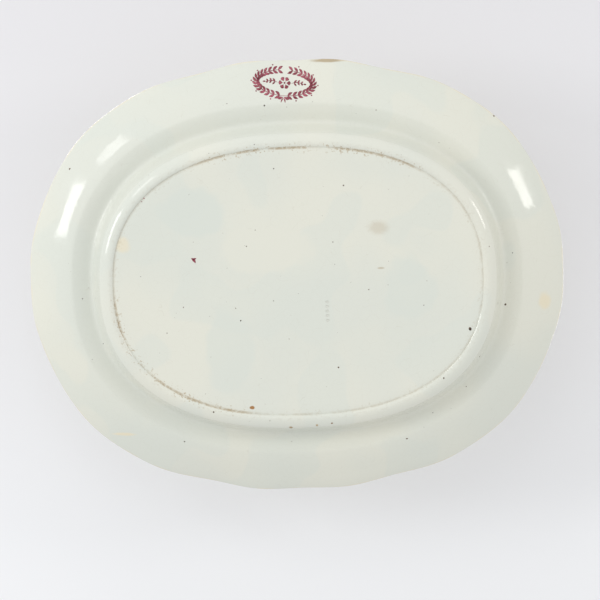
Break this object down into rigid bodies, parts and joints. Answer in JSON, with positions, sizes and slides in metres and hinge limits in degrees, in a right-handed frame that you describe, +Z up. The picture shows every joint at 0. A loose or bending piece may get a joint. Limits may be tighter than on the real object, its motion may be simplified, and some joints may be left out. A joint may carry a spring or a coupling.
{
  "type": "serving platter",
  "caption": "Oval serving platter with a sunken well, a wide lobed flange and a low foot ring, for carrying and serving food.",
  "frame": {"origin": "middle of the foot ring's flat resting face, under the middle of the well", "axes": "+X along the platter's length, +Y across its width with the back print at -Y, +Z up out of the well"},
  "size_m": [0.4316, 0.35, 0.04],
  "materials": {
    "glazed_body": "gloss",
    "glazed_foot": "gloss",
    "printed_mark": "gloss",
    "printed_face": "gloss"
  },
  "bodies": {
    "root": {"platter_body": "glazed_body", "foot_ring": "glazed_foot", "back_print": "printed_mark", "face_border_print": "printed_face", "face_centre_print": "printed_face"}
  },
  "joints": []
}
